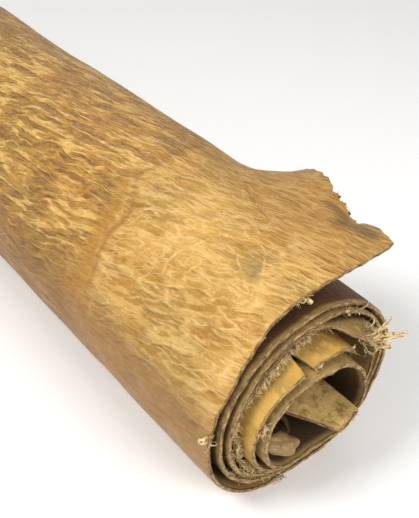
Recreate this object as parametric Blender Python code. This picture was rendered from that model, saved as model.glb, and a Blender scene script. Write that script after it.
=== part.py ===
"""A whole rawhide, rolled up loosely and lying on its side.

The hide is one sheet. Its outer corner has sprung up off the roll as a flap, and its near edge is uneven.
Metres, +Z up. The roll lies along Y with the near end at -Y, on the floor plane Z = 0.
"""
import math

import bmesh
import bpy
import numpy as np

MM = 0.001

# driving sizes, in mm
THICKNESS = 4.0
LENGTH = 900.0
AXIS_HEIGHT = 77.0
WINDING_STEP = 6.0
FLOOR_SNAP = 0.05

# Winding is in degrees round the axis, from +X through the top. It grows towards the inside of the roll.
FLAP_LEAVES = 168.0
CORE_STARTS = 2128.0

# Distance of the sheet from the axis, one row a turn. The first bottom is past the floor and flattens there.
TURNS = (
    # top, left, bottom, right
    (84.0, 84.0, 79.5, 82.5),
    (76.0, 76.0, 69.0, 77.0),
    (69.5, 70.0, 62.5, 71.0),
    (63.0, 64.0, 56.5, 46.5),
    (51.5, 57.5, 50.0, 38.5),
    (44.0, 50.5, 43.5, 29.0),
)

# The roll has sagged: its upper right is flatter than a circle and its lower sides are fuller.
SAG = (
    # direction, share of the circle's radius
    (0.0, 1.0),
    (45.0, 0.965),
    (90.0, 1.0),
    (180.0, 1.0),
    (225.0, 1.02),
    (270.0, 1.0),
    (315.0, 1.02),
    (360.0, 1.0),
)

# How far the sheet's edge stands out of the near end.
NEAR_EDGE = (
    # winding, reach
    (168.0, 0.0),
    (360.0, -2.0),
    (450.0, 2.0),
    (540.0, 2.0),
    (720.0, -2.0),
    (810.0, 4.0),
    (900.0, 4.0),
    (1080.0, -4.0),
    (1120.0, 22.0),
    (1140.0, 11.0),
    (1158.0, 2.0),
    (1350.0, 2.0),
    (1400.0, -30.0),
    (1486.0, -30.0),
    (1498.0, 16.0),
    (1530.0, 18.0),
    (1542.0, 19.0),
    (1547.5, 0.0),
    (1554.0, 19.0),
    (1620.0, 13.0),
    (1710.0, 8.0),
    (1760.0, 16.0),
    (1800.0, 21.0),
    (1890.0, 23.0),
    (1980.0, 18.0),
    (2070.0, 12.0),
    (2110.0, 20.0),
    (2128.0, 22.0),
)

# Places where the near edge turns sharply, which the mesh has to meet. Other steps keep this far from them.
EDGE_CORNERS = (1120.0, 1486.0, 1498.0, 1542.0, 1547.5, 1554.0)
CORNER_ROOM = 2.5

# The edge's unevenness dies away in the mesh over this length, so that a notch has room.
EDGE_FADES = 90.0

# How far each turn stands out of the far end.
FAR_REACH = (0.0, 3.0, -5.0, 4.0, 8.0, -4.0, -8.0)

# The sheet from where it leaves the roll out to its free edge, at the lifted corner and in the rest.
FLAP = (
    # length, bend at the corner, bend along the rest
    (15.0, -18.0, -18.0),
    (52.0, -11.0, -11.0),
    (26.0, -26.0, -26.0),
    (22.0, -16.0, -16.0),
    (34.0, -8.0, -10.0),
    (26.0, 0.0, -20.0),
    (45.0, 9.0, -66.0),
    (60.0, 6.0, -16.0),
)

# The flap along the roll: its width along its own curve, and how far it has settled back onto the roll.
FREE_EDGE = (
    # distance from the near end, width, settled
    (0.0, 188.0, -0.16),
    (5.0, 192.0, -0.15),
    (14.0, 192.0, -0.13),
    (35.0, 193.0, -0.07),
    (68.0, 202.0, 0.0),
    (88.0, 213.0, 0.04),
    (100.0, 216.0, 0.08),
    (113.0, 217.0, 0.2),
    (128.0, 222.0, 0.44),
    (142.0, 231.0, 0.8),
    (158.0, 238.0, 1.0),
    (420.0, 246.0, 1.0),
    (640.0, 238.0, 1.0),
    (900.0, 243.0, 1.0),
)

# The sheet's inner end: a fold, a plate lying back over the core, and a tight curl.
CORE = (
    # length, bend, reach at its end
    (11.0, 104.0, 25.0),
    (20.0, 0.0, 31.0),
    (26.0, 0.0, -18.0),
    (6.0, 4.0, -16.0),
    (17.0, 132.0, 4.0),
    (22.0, 8.0, 12.0),
    (17.0, 170.0, 12.0),
    (18.0, 6.0, 12.0),
    (8.3, 175.0, 12.0),
    (9.0, 0.0, 12.0),
)

# Rows of vertices along the roll, from the near edge to the far one.
STATIONS = (12.0, 40.0, 70.0, 88.0, 100.0, 113.0, 128.0, 142.0, 158.0, 270.0, 480.0, 690.0, 870.0)
FLAP_STEPS = 30
SUBSTEPS = 8
DEGREES_PER_STEP = 30.0
CORE_STEP = 9.0

HIDE_COLOUR = (0.44, 0.26, 0.08, 1.0)
HIDE_ROUGHNESS = 0.42


def through(x, xs, ys):
    """A smooth curve through the given knots."""
    xs = np.asarray(xs, float)
    ys = np.asarray(ys, float)
    slope = np.gradient(ys, xs)
    i = np.clip(np.searchsorted(xs, x, side="right") - 1, 0, len(xs) - 2)
    gap = xs[i + 1] - xs[i]
    t = (x - xs[i]) / gap
    rise = 3 * t**2 - 2 * t**3
    start = t**3 - 2 * t**2 + t
    end = t**3 - t**2
    return ys[i] + (ys[i + 1] - ys[i]) * rise + gap * (slope[i] * start + slope[i + 1] * end)


def eased(x, low, high):
    """0 below low, 1 above high and smooth between."""
    t = np.clip((x - low) / (high - low), 0.0, 1.0)
    return 3 * t**2 - 2 * t**3


def wound(winding):
    """Middle line of the wound turns, in the section plane."""
    knots = 90.0 * (1 + np.arange(4 * len(TURNS)))
    directions, shares = np.array(SAG).T
    radius = through(winding, knots, np.ravel(TURNS)) * through(winding % 360.0, directions, shares)
    angle = np.radians(winding)
    height = AXIS_HEIGHT + radius * np.sin(angle)
    return radius * np.cos(angle), np.maximum(height, THICKNESS / 2)


def heading_at(winding, step=0.5):
    """Direction in which the wound sheet runs inwards, in degrees."""
    x, z = wound(np.array([winding, winding + step]))
    return math.degrees(math.atan2(z[1] - z[0], x[1] - x[0]))


def core_line():
    """The inner end, walked from where the last turn stops: positions and reach."""
    start_x, start_z = wound(np.array([CORE_STARTS]))
    x = float(start_x[0])
    z = float(start_z[0])
    heading = heading_at(CORE_STARTS - 1.0)
    reach = NEAR_EDGE[-1][1]
    line = []
    for length, bend, reach_after in CORE:
        steps = max(round(length / CORE_STEP), math.ceil(abs(bend) / DEGREES_PER_STEP))
        for k in range(1, steps + 1):
            direction = math.radians(heading + bend * (k - 0.5) / steps)
            x += length / steps * math.cos(direction)
            z += length / steps * math.sin(direction)
            line.append((x, z, reach + (reach_after - reach) * k / steps))
        heading += bend
        reach = reach_after
    return np.array(line)


def flap_line(width, settled):
    """The flap's middle line from the free edge in to the roll."""
    rows = np.array(FLAP)
    distance = np.concatenate([[0.0], np.cumsum(rows[:, 0])])
    bends = (1 - settled) * rows[:, 1] + settled * rows[:, 2]
    turned = np.concatenate([[0.0], np.cumsum(bends)])
    start = heading_at(FLAP_LEAVES) + 180.0
    fine = np.linspace(0.0, width, SUBSTEPS * FLAP_STEPS + 1)
    middles = (fine[1:] + fine[:-1]) / 2
    heading = np.radians(start + np.interp(middles, distance, turned))
    x0, z0 = wound(np.array([FLAP_LEAVES]))
    x = x0 + np.concatenate([[0.0], np.cumsum(fine[1] * np.cos(heading))])
    z = z0 + np.concatenate([[0.0], np.cumsum(fine[1] * np.sin(heading))])
    return x[::SUBSTEPS][:0:-1], z[::SUBSTEPS][:0:-1]


def middle_sheet():
    """The sheet's middle surface as arrays x, y, z. Rows run along the path and columns along the roll."""
    winding = np.arange(FLAP_LEAVES, CORE_STARTS, WINDING_STEP)
    winding = np.unique(np.concatenate([winding, EDGE_CORNERS, [CORE_STARTS]]))
    off_corner = [min(abs(w - corner) for corner in EDGE_CORNERS) for w in winding]
    winding = np.array([w for w, off in zip(winding, off_corner) if off == 0 or off > CORNER_ROOM])
    turn_x, turn_z = wound(winding)
    core = core_line()
    edge_winding, edge_reach = np.array(NEAR_EDGE).T
    near = np.concatenate([
        np.zeros(FLAP_STEPS),
        np.interp(winding, edge_winding, edge_reach),
        core[:, 2],
    ])
    turn = np.concatenate([
        np.zeros(FLAP_STEPS),
        (winding - FLAP_LEAVES) / 360.0,
        np.full(len(core), len(TURNS)),
    ])
    far = np.interp(turn, range(len(FAR_REACH)), FAR_REACH)
    distances, widths, settled = np.array(FREE_EDGE).T
    columns = []
    for k in range(len(STATIONS) + 2):
        if k == 0:
            y = -near
        elif k == len(STATIONS) + 1:
            y = LENGTH + far
        else:
            follow = 1.0 - eased(STATIONS[k - 1], 0.0, EDGE_FADES)
            y = STATIONS[k - 1] - near * follow
        flap_x, flap_z = flap_line(
            np.interp(y[0], distances, widths),
            np.interp(y[0], distances, settled),
        )
        x = np.concatenate([flap_x, turn_x, core[:, 0]])
        z = np.concatenate([flap_z, turn_z, core[:, 1]])
        columns.append((x, y, z))
    return (np.array(axis).T for axis in zip(*columns))


def two_faces(x, z):
    """Outer and inner face of the sheet, half a thickness each side of its middle."""
    along_x = np.gradient(x, axis=0)
    along_z = np.gradient(z, axis=0)
    size = np.hypot(along_x, along_z)
    half = THICKNESS / 2
    out_x = along_z / size * half
    out_z = -along_x / size * half
    outer_z = z + out_z
    outer_z[np.abs(outer_z) < FLOOR_SNAP] = 0.0
    return (x + out_x, outer_z), (x - out_x, z - out_z)


def closed_sheet(outer, inner):
    """Vertices and faces of the closed sheet between two grids of points."""
    rows, columns, _ = outer.shape
    points = np.concatenate([outer.reshape(-1, 3), inner.reshape(-1, 3)])
    on_outer = np.arange(rows * columns).reshape(rows, columns)
    on_inner = on_outer + rows * columns
    faces = []
    for i in range(rows - 1):
        for j in range(columns - 1):
            faces.append((on_outer[i, j], on_outer[i, j + 1], on_outer[i + 1, j + 1], on_outer[i + 1, j]))
            faces.append((on_inner[i, j], on_inner[i + 1, j], on_inner[i + 1, j + 1], on_inner[i, j + 1]))
    corner_ring = np.concatenate([
        on_outer[:-1, 0],
        on_outer[-1, :-1],
        on_outer[:0:-1, -1],
        on_outer[0, :0:-1],
    ])
    for here, following in zip(corner_ring, np.roll(corner_ring, -1)):
        other_side = rows * columns
        faces.append((here, following, following + other_side, here + other_side))
    return points, faces


def rawhide():
    """The hide's own material."""
    material = bpy.data.materials.new("rawhide")
    material.use_nodes = True
    shader = material.node_tree.nodes["Principled BSDF"]
    shader.inputs["Base Color"].default_value = HIDE_COLOUR
    shader.inputs["Roughness"].default_value = HIDE_ROUGHNESS
    return material


def build_hide():
    x, y, z = middle_sheet()
    (outer_x, outer_z), (inner_x, inner_z) = two_faces(x, z)
    along = y - LENGTH / 2
    outer = np.stack([outer_x, along, outer_z], axis=-1) * MM
    inner = np.stack([inner_x, along, inner_z], axis=-1) * MM
    points, faces = closed_sheet(outer, inner)
    mesh = bpy.data.meshes.new("hide")
    mesh.from_pydata(points.tolist(), [], faces)
    shaped = bmesh.new()
    shaped.from_mesh(mesh)
    bmesh.ops.recalc_face_normals(shaped, faces=shaped.faces)
    if shaped.calc_volume(signed=True) < 0:
        bmesh.ops.reverse_faces(shaped, faces=shaped.faces)
    shaped.to_mesh(mesh)
    shaped.free()
    mesh.shade_smooth()
    hide = bpy.data.objects.new("hide", mesh)
    mesh.materials.append(rawhide())
    bpy.context.scene.collection.objects.link(hide)


for thing in list(bpy.data.objects):
    bpy.data.objects.remove(thing)
build_hide()
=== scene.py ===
# %% [markdown]
# # A rolled rawhide
# A rawhide is a skin that has been cleaned and dried but not tanned. It dries stiff, yellow and wrinkled,
# and it is stored rolled up. This lesson dresses the plain solid of such a roll: the same sheet is built
# again with a finer mesh, rounded and frayed edges, and a finish that follows the skin.

# %% Load the frame
import functools
import math

import bpy
import numpy as np
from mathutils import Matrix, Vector


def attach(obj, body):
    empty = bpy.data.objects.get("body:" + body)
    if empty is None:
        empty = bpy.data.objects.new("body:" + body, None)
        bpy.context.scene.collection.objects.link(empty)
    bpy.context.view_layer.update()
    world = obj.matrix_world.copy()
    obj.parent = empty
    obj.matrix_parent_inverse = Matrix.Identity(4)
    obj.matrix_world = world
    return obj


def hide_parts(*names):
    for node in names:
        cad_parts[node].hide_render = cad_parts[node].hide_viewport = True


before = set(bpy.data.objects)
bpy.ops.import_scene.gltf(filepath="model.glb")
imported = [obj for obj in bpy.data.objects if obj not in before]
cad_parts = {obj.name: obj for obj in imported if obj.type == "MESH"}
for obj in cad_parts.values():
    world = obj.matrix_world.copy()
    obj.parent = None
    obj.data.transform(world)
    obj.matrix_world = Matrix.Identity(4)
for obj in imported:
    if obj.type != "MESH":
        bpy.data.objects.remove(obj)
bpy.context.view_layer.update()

# %% [markdown]
# ## Units, colours and nodes
# Sizes are written in millimetres, as a tanner would give them, and become metres only in the meshes.
# Colours are written as they look on a screen and turned to the linear values that a shader mixes.
# One helper adds any node with its settings and links, so that each finish reads as a short list.

# %% Helpers for every cell
MM = 0.001
HILL_TABLE = 64


def linear(hex_colour):
    """A screen colour such as #C89B52 as linear red, green, blue and alpha."""
    values = [int(hex_colour[k:k + 2], 16) / 255 for k in (1, 3, 5)]
    return [v / 12.92 if v <= 0.04045 else ((v + 0.055) / 1.055) ** 2.4 for v in values] + [1.0]


def add(tree, kind, inputs=None, out=0, **settings):
    """Add a node. An input is given by name or number, as a value or as another node's output socket.
    It returns the output named or numbered by out, or all of them where out is None."""
    node = tree.nodes.new(kind)
    for name, value in settings.items():
        setattr(node, name, value)
    for key, value in (inputs or {}).items():
        if isinstance(value, bpy.types.NodeSocket):
            tree.links.new(value, node.inputs[key])
        else:
            node.inputs[key].default_value = value
    return node.outputs if out is None else node.outputs[out]


def add_object(name, data):
    """Put a mesh, a lamp or a camera into the scene."""
    made = bpy.data.objects.new(name, data)
    bpy.context.scene.collection.objects.link(made)
    return made


def new_finish(name, colour=None, roughness=0.5):
    """A plain material, with its node tree and its shader for whatever else it needs."""
    material = bpy.data.materials.new(name)
    material.use_nodes = True
    shader = material.node_tree.nodes["Principled BSDF"]
    shader.inputs["Roughness"].default_value = roughness
    if colour:
        shader.inputs["Base Color"].default_value = linear(colour)
    return material, material.node_tree, shader


def smooth(t):
    """An even rise from 0 to 1 that starts and ends flat."""
    return 3 * t**2 - 2 * t**3


def eased(x, low, high):
    """0 below low, 1 above high and smooth between."""
    return smooth(np.clip((np.asarray(x) - low) / (high - low), 0.0, 1.0))


def hills(u, v, cell_u, cell_v, seed):
    """Smooth random hills between -1 and 1, cell_u by cell_v mm across."""
    table = np.random.default_rng(seed).uniform(-1.0, 1.0, (HILL_TABLE, HILL_TABLE))
    a = np.asarray(u) / cell_u
    b = np.asarray(v) / cell_v
    i = np.floor(a).astype(int)
    j = np.floor(b).astype(int)
    across = smooth(a - i)
    along = smooth(b - j)

    def at_side(k):
        start = table[i % HILL_TABLE, k % HILL_TABLE]
        return start * (1 - across) + table[(i + 1) % HILL_TABLE, k % HILL_TABLE] * across

    return at_side(j) * (1 - along) + at_side(j + 1) * along


print("linear gold is", [round(c, 3) for c in linear("#C89B52")])

# %% [markdown]
# ## The section of the roll
# Seen from its end, the roll is a loose spiral of six and a half turns. Hand rolling never gives an even
# spiral, so each turn is described by its distance from the axis at four places, and a smooth curve runs
# through them. A table like this is easier to correct against a real roll than one formula would be.

# %% Sizes of the roll
THICKNESS = 4.0
LENGTH = 900.0
AXIS_HEIGHT = 77.0

# Winding is in degrees round the axis, from +X through the top, and it grows towards the inside.
FLAP_LEAVES = 168.0
CORE_STARTS = 2128.0

TURNS = (
    # top, left, bottom, right
    (84, 84, 79.5, 82.5),
    (76, 76, 69, 77),
    (69.5, 70, 62.5, 71),
    (63, 64, 56.5, 46.5),
    (51.5, 57.5, 50, 38.5),
    (44, 50.5, 43.5, 29),
)

SAG = (
    # direction, share of the circle's radius
    (0, 1),
    (45, 0.965),
    (90, 1),
    (180, 1),
    (225, 1.02),
    (270, 1),
    (315, 1.02),
    (360, 1),
)


def through(x, xs, ys):
    """A smooth curve through the given knots."""
    xs = np.asarray(xs, float)
    ys = np.asarray(ys, float)
    slope = np.gradient(ys, xs)
    i = np.clip(np.searchsorted(xs, x, side="right") - 1, 0, len(xs) - 2)
    gap = xs[i + 1] - xs[i]
    t = (x - xs[i]) / gap
    start = t**3 - 2 * t**2 + t
    end = t**3 - t**2
    return ys[i] + (ys[i + 1] - ys[i]) * smooth(t) + gap * (slope[i] * start + slope[i + 1] * end)


def wound(winding):
    """Middle line of the wound turns. The first bottom is past the floor and flattens there."""
    knots = 90.0 * (1 + np.arange(4 * len(TURNS)))
    directions, shares = np.array(SAG).T
    radius = through(winding, knots, np.ravel(TURNS)) * through(winding % 360.0, directions, shares)
    angle = np.radians(winding)
    height = AXIS_HEIGHT + radius * np.sin(angle)
    return radius * np.cos(angle), np.maximum(height, THICKNESS / 2)


def heading_at(winding, step=0.5):
    """Direction in which the wound sheet runs inwards, in degrees."""
    x, z = wound(np.array([winding, winding + step]))
    return math.degrees(math.atan2(z[1] - z[0], x[1] - x[0]))


print("the roll is", TURNS[0][1] + TURNS[0][3] + THICKNESS, "mm wide at mid height")

# %% [markdown]
# ## The inner end and the flap
# The skin's inner end was folded over before it was rolled, so it lies as a plate across the hollow and
# ends in a tight curl. Its outer corner has dried with a bend of its own and stands off the roll. Both are
# walked like a path: so many millimetres on, bending so many degrees.

# %% Paths of the inner end and the flap
CORE = (
    # length, bend, reach at its end
    (11, 104, 25),
    (20, 0, 31),
    (26, 0, -18),
    (6, 4, -16),
    (17, 132, 4),
    (22, 8, 2),
    (17, 170, -12),
    (18, 6, -14),
    (8.3, 175, -16),
    (9, 0, -16),
)
CORE_REACH = 22.0
CORE_STEP = 4.0
CORE_BEND_STEP = 16.0

FLAP = (
    # length, bend at the corner, bend along the rest
    (15, -18, -18),
    (52, -11, -11),
    (26, -26, -26),
    (22, -16, -16),
    (34, -8, -10),
    (26, 0, -20),
    (45, 9, -66),
    (60, 6, -16),
)

FREE_EDGE = (
    # distance from the near end, width, settled
    (0, 188, -0.16),
    (5, 192, -0.15),
    (14, 192, -0.13),
    (35, 193, -0.07),
    (68, 202, 0),
    (88, 213, 0.04),
    (100, 216, 0.08),
    (113, 217, 0.2),
    (128, 222, 0.44),
    (142, 231, 0.8),
    (158, 238, 1),
    (420, 246, 1),
    (640, 238, 1),
    (900, 243, 1),
)
FLAP_ROWS = 56
SUBSTEPS = 8


def core_line():
    """The inner end, walked from where the last turn stops: positions and reach."""
    start_x, start_z = wound(np.array([CORE_STARTS]))
    x = float(start_x[0])
    z = float(start_z[0])
    heading = heading_at(CORE_STARTS - 1.0)
    reach = CORE_REACH
    line = []
    for length, bend, reach_after in CORE:
        steps = max(round(length / CORE_STEP), math.ceil(abs(bend) / CORE_BEND_STEP))
        for k in range(1, steps + 1):
            direction = math.radians(heading + bend * (k - 0.5) / steps)
            x += length / steps * math.cos(direction)
            z += length / steps * math.sin(direction)
            line.append((x, z, reach + (reach_after - reach) * k / steps))
        heading += bend
        reach = reach_after
    return np.array(line)


def flap_line(width, settled):
    """The flap's middle line from the free edge in to the roll."""
    rows = np.array(FLAP)
    distance = np.concatenate([[0.0], np.cumsum(rows[:, 0])])
    bends = (1 - settled) * rows[:, 1] + settled * rows[:, 2]
    turned = np.concatenate([[0.0], np.cumsum(bends)])
    start = heading_at(FLAP_LEAVES) + 180.0
    fine = np.linspace(0.0, width, SUBSTEPS * FLAP_ROWS + 1)
    middles = (fine[1:] + fine[:-1]) / 2
    heading = np.radians(start + np.interp(middles, distance, turned))
    x0, z0 = wound(np.array([FLAP_LEAVES]))
    x = x0 + np.concatenate([[0.0], np.cumsum(fine[1] * np.cos(heading))])
    z = z0 + np.concatenate([[0.0], np.cumsum(fine[1] * np.sin(heading))])
    return x[::SUBSTEPS][:0:-1], z[::SUBSTEPS][:0:-1]


core = core_line()
print("inner end walked in", len(core), "steps; flap in", FLAP_ROWS, "rows")

# %% [markdown]
# ## The uneven edge
# A skin has no straight side. Along the near end some turns stand out and others are torn back. The table
# gives how far the edge stands out at each winding, with a notch where the skin has split. A little random
# roughness is added on top, more where it is torn than where it was cut.

# %% Rows round the roll and its near edge
NEAR_EDGE = (
    # winding, reach, roughness
    (168, 0, 0.5),
    (360, -2, 0.6),
    (450, 2, 0.6),
    (540, 2, 0.6),
    (720, -2, 0.8),
    (810, 4, 0.8),
    (900, 4, 0.8),
    (1080, -2, 1),
    (1132, 8, 1.5),
    (1149, 25, 1),
    (1158, 2, 2),
    (1350, 2, 2),
    (1400, -30, 1),
    (1486, -30, 1),
    (1498, 16, 1.8),
    (1530, 18, 1.2),
    (1546.5, 19, 0.4),
    (1548.5, -9, 0.3),
    (1554, 19, 0.4),
    (1620, 13, 0.8),
    (1710, 8, 0.8),
    (1760, 16, 0.9),
    (1800, 21, 0.9),
    (1890, 23, 0.9),
    (1980, 18, 0.9),
    (2070, 12, 0.9),
    (2110, 20, 0.9),
    (2128, 22, 0.8),
)
EDGE_CORNERS = (1149, 1486, 1498, 1546.5, 1548.5, 1554)
CORNER_ROOM = 2.0
FAR_REACH = (0, 3, -5, 4, 8, -4, -8)
FAR_ROUGHNESS = 1.5
EDGE_TEETH = 1.6

# Degrees between rows: close together in the outer turn, wider where only the edge of a turn shows.
FINE_UNTIL = 558.0
ROW_SPACING = ((FLAP_LEAVES, FINE_UNTIL, 2.8), (FINE_UNTIL, 1080.0, 6.5), (1080.0, CORE_STARTS, 7.0))

spaced = [np.arange(start, stop, step) for start, stop, step in ROW_SPACING]
winding = np.unique(np.concatenate([*spaced, EDGE_CORNERS, [CORE_STARTS]]))
off_corner = [min(abs(w - corner) for corner in EDGE_CORNERS) for w in winding]
winding = np.array([w for w, off in zip(winding, off_corner) if off == 0 or off > CORNER_ROOM])
turn_x, turn_z = wound(winding)
edge_winding, edge_reach, edge_roughness = np.array(NEAR_EDGE).T

turn_u = np.concatenate([[0.0], np.cumsum(np.hypot(np.diff(turn_x), np.diff(turn_z)))])
core_steps = np.hypot(
    np.diff(np.append(turn_x[-1], core[:, 0])),
    np.diff(np.append(turn_z[-1], core[:, 1])),
)
core_u = turn_u[-1] + np.cumsum(core_steps)

rows = FLAP_ROWS + len(winding) + len(core)
fine_rows = FLAP_ROWS + int(np.searchsorted(winding, FINE_UNTIL))
turn = np.concatenate([
    np.zeros(FLAP_ROWS),
    (winding - FLAP_LEAVES) / 360.0,
    len(TURNS) + eased(np.arange(len(core)), 14, 18),
])
print(rows, "rows,", fine_rows, "of them fine; inner end at", round(core_u[-1]), "mm from the flap")

# %% [markdown]
# ## The middle of the skin
# Rows run along the skin's path and columns along the roll. Columns stand close together near the end that
# is looked at, and further apart beyond. The mesh position also carries each point's place on the flat
# skin, so that wrinkles and stains can be laid out as on a hide spread on a table.

# %% Columns and the middle surface
NEAR_COLUMNS = 80
NEAR_SPACING = 2.5
FAR_COLUMNS = 92
EDGE_FADES = 90.0

near_part = np.arange(NEAR_COLUMNS) * NEAR_SPACING
far_part = np.linspace(NEAR_COLUMNS * NEAR_SPACING, LENGTH, FAR_COLUMNS + 1)
stations = np.concatenate([near_part, far_part])
columns = len(stations)

# Inside, only the stretches near the two ends are seen, so the columns between them stand far apart.
FINE_INSIDE = 60.0
INSIDE_STEPS = (2, 8)
inside_columns = [0]
while inside_columns[-1] < columns - 1:
    at_end = min(stations[inside_columns[-1]], LENGTH - stations[inside_columns[-1]]) < FINE_INSIDE
    inside_columns.append(min(inside_columns[-1] + INSIDE_STEPS[0 if at_end else 1], columns - 1))


def middle_surface():
    """Arrays x, y, z and u of the skin's middle, where y is the distance from the near end and u the one
    along the skin."""
    distances, widths, settled = np.array(FREE_EDGE).T
    flat_u = np.concatenate([np.zeros(FLAP_ROWS), turn_u, core_u])
    reach = np.concatenate([
        np.zeros(FLAP_ROWS),
        np.interp(winding, edge_winding, edge_reach),
        core[:, 2],
    ])
    rough = np.concatenate([
        np.full(FLAP_ROWS, edge_roughness[1]),
        np.interp(winding, edge_winding, edge_roughness),
        np.full(len(core), edge_roughness[-1]),
    ])
    far = np.interp(turn, range(len(FAR_REACH)), FAR_REACH)
    counted = np.arange(rows)
    nought = counted * 0.0
    ragged = hills(counted, nought, 1.3, 1.0, 11) + 0.6 * hills(counted, nought, 4.7, 1.0, 12)
    near_y = -reach - rough * ragged
    far_y = LENGTH + far + FAR_ROUGHNESS * hills(counted, nought, 3.1, 1.0, 13)
    gathered = []
    for station in stations:
        towards_near = 1.0 - eased(station, 0.0, EDGE_FADES)
        towards_far = eased(station, LENGTH - EDGE_FADES, LENGTH)
        y = station + near_y * towards_near + (far_y - LENGTH) * towards_far
        width = np.interp(y[0], distances, widths) + EDGE_TEETH * hills(y[0], 0.0, 5.0, 1.0, 14)
        flap_x, flap_z = flap_line(width, np.interp(y[0], distances, settled))
        u = flat_u.copy()
        u[:FLAP_ROWS] = -width * (1 - np.arange(FLAP_ROWS) / FLAP_ROWS)
        x = np.concatenate([flap_x, turn_x, core[:, 0]])
        z = np.concatenate([flap_z, turn_z, core[:, 1]])
        gathered.append((x, y, z, u))
    return [np.array(axis).T for axis in zip(*gathered)]


x, y, z, u = middle_surface()
print("middle surface", x.shape, "free edge at", round(float(x[0, 0])), round(float(z[0, 0])), "mm")

# %% [markdown]
# ## Marks at their real places
# Some marks belong to this skin alone: swells and dips, a brown line where it was once bent, dark spots.
# Two more are painted light: a pale field is a broad painted highlight on the top of the roll, and a dark
# band is painted shade where the flap's free edge curls under. Each is a row from one place on the flat
# skin to another. Swells and dips go into the shape, and the others are stored on the points, where the
# finish finds them.

# %% Table of marks
MARKS = {
    # u and v at one end, u and v at the other, width, strength, all but strength in mm
    "swell": (
        (-52, 104, -43, 160, 7, 1.3),
        (-22, 12, -15, 62, 5, 1.4),
        (-15, 62, -9, 118, 5, 1.1),
        (-86, 22, -104, 62, 5, 0.8),
        (-86, 22, -66, 66, 5, 0.7),
        (-120, 44, -127, 96, 6, 0.8),
    ),
    "dip": (
        (-34, 98, -38, 124, 15, 1.8),
        (-60, 44, -64, 70, 12, 1.2),
        (-94, 84, -92, 104, 11, 1),
        (-112, 58, -116, 74, 9, 1.2),
        (-150, 70, -156, 100, 14, 1.2),
    ),
    # a broad painted highlight on the top of the roll
    "pale": (
        (-84, 70, -128, 118, 42, 0.8),
        (-96, 24, -150, 26, 22, 0.5),
    ),
    "stain": (
        (-172, 186, -108, 176, 3.4, 0.7),
        (-108, 176, -84, 154, 3.6, 1),
        (-84, 154, -60, 158, 3.4, 1),
        (-60, 158, -18, 153, 3.2, 1),
    ),
    "patch": (
        (-76, 168, -24, 164, 16, 1),
        (-100, 184, -74, 168, 9, 0.7),
    ),
    "spot": (
        (-106, 37, -100, 33, 7, 1),
        (-116, 40, -104, 44, 9, 0.5),
        (-108, 63, -110, 62, 3.5, 1),
    ),
    # painted shade where the flap's free edge curls under
    "dark": (
        (-180, 38, -187, 12, 8, 1),
        (-190, 62, -186, 38, 6, 0.9),
    ),
}
MARK_WANDER = 3.0


def marked(kind, u, v):
    """How strongly each place on the flat skin carries a kind of mark, with an unsteady outline."""
    strongest = np.zeros(np.shape(u))
    u = u + MARK_WANDER * hills(u, v, 15.0, 15.0, 41)
    v = v + MARK_WANDER * hills(u, v, 15.0, 15.0, 42)
    for u0, v0, u1, v1, width, strength in MARKS[kind]:
        square = (u1 - u0) ** 2 + (v1 - v0) ** 2
        share = np.clip(((u - u0) * (u1 - u0) + (v - v0) * (v1 - v0)) / square, 0.0, 1.0)
        off = np.hypot(u - u0 - share * (u1 - u0), v - v0 - share * (v1 - v0))
        strongest = np.maximum(strongest, strength * (1 - eased(off, 0.0, width)))
    return strongest


print({kind: len(rows_of_kind) for kind, rows_of_kind in MARKS.items()}, "marks")

# %% [markdown]
# ## Cockles and dimples
# Where a skin dries freely it cockles: long low waves run along the roll, with soft dimples between them.
# The broad ones change the outline, so they are in the mesh, while finer wrinkles are left to the finish.
# Only the outermost turn and the flap move, and only outwards, so that no turn cuts another. The flap's free
# edge alone curls under.

# %% Waves of the outer turn
WAVES = (
    # height, size across and along the roll, all in mm, seed
    (1.1, 70, 110, 21),
    (0.55, 26, 48, 22),
)
COCKLES = (0.75, 12, 70, 23)
COCKLE_SLANT = 0.14
COCKLES_START = 90.0
COCKLES_FULL = 190.0
CURL_UNDER = 7.5
CURL_AT = 40.0
CURL_HALF_WIDTH = 17.0
CURL_REACH = 20.0
OUTER_TURN_ENDS = (0.34, 0.48)


def swelling(u, y):
    """How far the outer turn stands out from its even shape, in mm."""
    waves = sum(height * (1 + hills(u, y, *size_and_seed)) for height, *size_and_seed in WAVES)
    height, *size_and_seed = COCKLES
    cockles = height * (1 + hills(u - COCKLE_SLANT * y, y, *size_and_seed))
    cockles = cockles * eased(y, COCKLES_START, COCKLES_FULL)
    return np.maximum(waves + cockles + marked("swell", u, y) - marked("dip", u, y), 0.0)


def edge_curl(u, y, free):
    """The flap's free edge curls under over a short stretch near its corner."""
    from_edge = np.clip(1 - (u - free) / CURL_REACH, 0.0, 1.0)
    stretch = np.exp(-((y - CURL_AT) / CURL_HALF_WIDTH) ** 2)
    return -CURL_UNDER * stretch * from_edge**2


on_outer = 1 - eased(turn, *OUTER_TURN_ENDS)
on_flap = eased(-u, 0.0, 30.0)
off_floor = np.maximum(eased(z, 6.0, 26.0), on_flap)
standing = swelling(u, y) * on_outer[:, None] * off_floor * eased(y, -6.0, 26.0)
standing += edge_curl(u, y, u[0][None, :]) * on_flap
print("outer turn swells by up to", round(float(standing.max()), 1), "mm")

# %% [markdown]
# ## One closed sheet
# The sheet gets an outer and an inner face half a thickness from its middle, and a rounded rim all round.
# The inner turns have fewer columns, so a strip of triangles joins the fine mesh to the coarse one. The
# rim's points are found by walking once round the border.

# %% Faces and rim of the skin
RIM_STEPS = 3
RIM_DEPTH = 1.4
THICKNESS_VARIES = 0.10
FLOOR_SNAP = 0.05
LIES_BELOW = 1.0
RIM_SHARE = 0.86
RIM_THINS = 10.0
CORE_CURL = 46.0
CORE_SWELLS = 2.5
CORE_SWELLS_FADE = 45.0


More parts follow.
